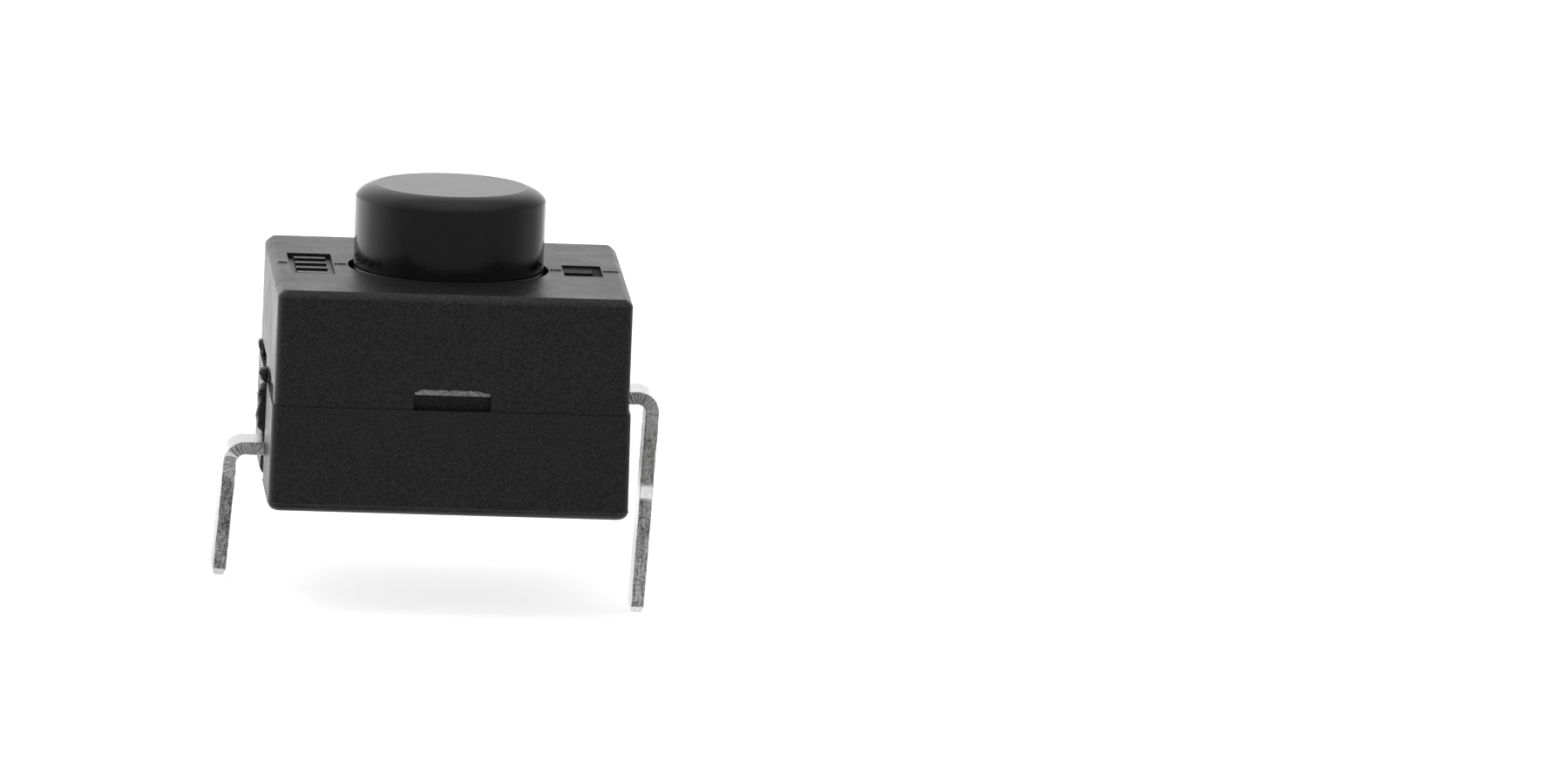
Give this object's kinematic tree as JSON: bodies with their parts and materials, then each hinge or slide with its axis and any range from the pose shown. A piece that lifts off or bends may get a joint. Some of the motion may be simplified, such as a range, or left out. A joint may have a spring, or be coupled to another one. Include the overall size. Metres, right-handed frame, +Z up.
{
  "type": "self-locking push button switch",
  "caption": "Square black two-lead latching push button switch with a round flat-topped button and bent tin-plated leads.",
  "frame": {"origin": "centre of the flat underside of the base", "axes": "+Z up along the button's travel axis, +X to the right with the front face towards -Y"},
  "size_m": [0.0146, 0.012, 0.0138],
  "materials": {
    "housing": "fine satin grain",
    "button": "satin",
    "rotor": "satin",
    "contact": "bright",
    "spring": "drawn wire",
    "lead": "bright tin plate",
    "rivet": "silver"
  },
  "bodies": {
    "housing": {"base": "housing", "cover": "housing", "left_lead": "lead", "right_lead": "lead", "contact_rivets": "rivet", "return_spring": "spring"},
    "button": {"button": "button"},
    "rotor": {"rotor": "rotor", "contact_ring": "contact"}
  },
  "joints": [
    {"name": "button_press", "type": "slide", "parent": "housing", "child": "button", "axis": [0, 0, -1], "range_m": [0, 0.002], "stiffness_N_per_m": 600, "springref_m": -0.002, "deforming": ["return_spring"]},
    {"name": "rotor_turn", "type": "hinge", "parent": "button", "child": "rotor", "pos_m": [0, 0, 0.005], "axis": [0, 0, 1], "range_deg": [0, 22.5]}
  ],
  "couplings": [
    {"joint": "rotor_turn", "follows": "button_press", "rad_per_m": 196.35}
  ]
}
